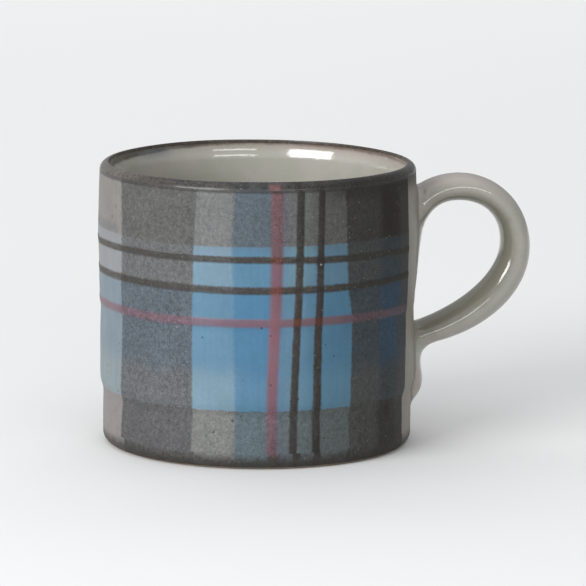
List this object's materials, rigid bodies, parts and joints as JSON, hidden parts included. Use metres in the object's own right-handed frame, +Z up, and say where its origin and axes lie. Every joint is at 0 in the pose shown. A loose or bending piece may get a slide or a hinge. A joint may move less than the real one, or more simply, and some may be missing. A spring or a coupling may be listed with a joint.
{
  "type": "stoneware mug",
  "caption": "Straight-sided stoneware mug with a strap handle, pale glazed inside, iron-dark rim and a hand-painted blue, grey and red plaid.",
  "frame": {"origin": "centre of the foot ring, on the plane the mug rests on; the axis of the cup passes through it", "axes": "+Z up along the axis of the cup, out of its mouth; +X from the axis towards the middle of the handle; +Y completes the right-handed frame"},
  "size_m": [0.1242, 0.0908, 0.0805],
  "materials": {
    "stoneware_clay": "fired stoneware clay, bare and matte on the foot ring",
    "handle_clay": "fired stoneware clay under glaze",
    "luting_slip": "fired slip between the handle and the wall",
    "liner_glaze": "glossy greenish off-white glaze with a few specks",
    "handle_glaze": "glossy greenish off-white glaze",
    "handle_side_glaze": "satin off-white glaze",
    "far_side_glaze": "satin pinkish beige glaze",
    "rim_iron": "satin iron-brown band, worn paler on the crest",
    "foot_iron": "satin iron-brown band",
    "dark_grey_paint": "granular dark grey-brown paint under a satin glaze",
    "navy_paint": "navy paint over dark grey",
    "grey_wash": "granular warm grey wash",
    "light_blue_wash": "thin light blue wash",
    "mid_blue_wash": "second blue wash",
    "deep_blue_wash": "deeper blue upright wash",
    "ring_brown_line": "brown-black brush line",
    "ring_red_line": "soft crimson brush line",
    "upright_brown_line": "brown-black brush line",
    "upright_red_line": "soft crimson brush line"
  },
  "bodies": {
    "root": {"cup_body": "stoneware_clay", "handle": "handle_clay", "luting_slip": "luting_slip", "liner_glaze": "liner_glaze", "handle_glaze": "handle_glaze", "handle_side_glaze": "handle_side_glaze", "far_side_glaze": "far_side_glaze", "rim_band": "rim_iron", "foot_band": "foot_iron", "dark_columns": "dark_grey_paint", "navy_stripes": "navy_paint", "grey_washes": "grey_wash", "light_blue_band": "light_blue_wash", "deep_blue_band": "mid_blue_wash", "deep_blue_columns": "deep_blue_wash", "dark_rings": "ring_brown_line", "red_ring": "ring_red_line", "dark_uprights": "upright_brown_line", "red_uprights": "upright_red_line"}
  },
  "joints": []
}
